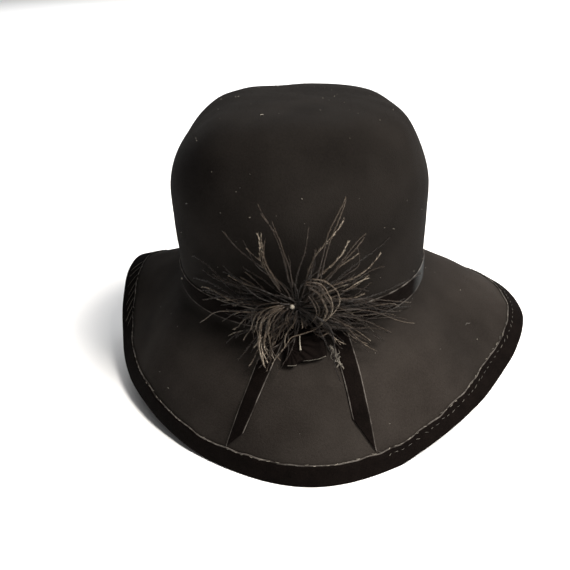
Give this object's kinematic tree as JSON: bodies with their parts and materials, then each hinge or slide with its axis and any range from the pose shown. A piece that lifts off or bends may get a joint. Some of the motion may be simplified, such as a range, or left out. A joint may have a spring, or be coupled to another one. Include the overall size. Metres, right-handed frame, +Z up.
{
  "type": "wide brim wool hat",
  "caption": "Black wool felt hat with a tall round crown, a wide down-turned wavy brim bound in ribbon, a ribbon band and a feather pom with ribbon tails.",
  "frame": {"origin": "middle of the hat's outline seen from above, on the floor that the rim rests on", "axes": "+Z up through the crown, -Y towards the front with the feathers, +X to the viewer's right when looking at the front"},
  "size_m": [0.3038, 0.2938, 0.2032],
  "materials": {
    "felt": "black wool felt with a short nap",
    "ribbon": "black velvet ribbon with plain woven edges",
    "feather": "brown-black feather strands with a soft sheen"
  },
  "bodies": {
    "root": {"felt_body": "felt", "brim_binding": "ribbon", "crown_band": "ribbon", "ribbon_knot": "ribbon", "tail_left": "ribbon", "tail_right": "ribbon", "feather_pom": "feather"}
  },
  "joints": []
}
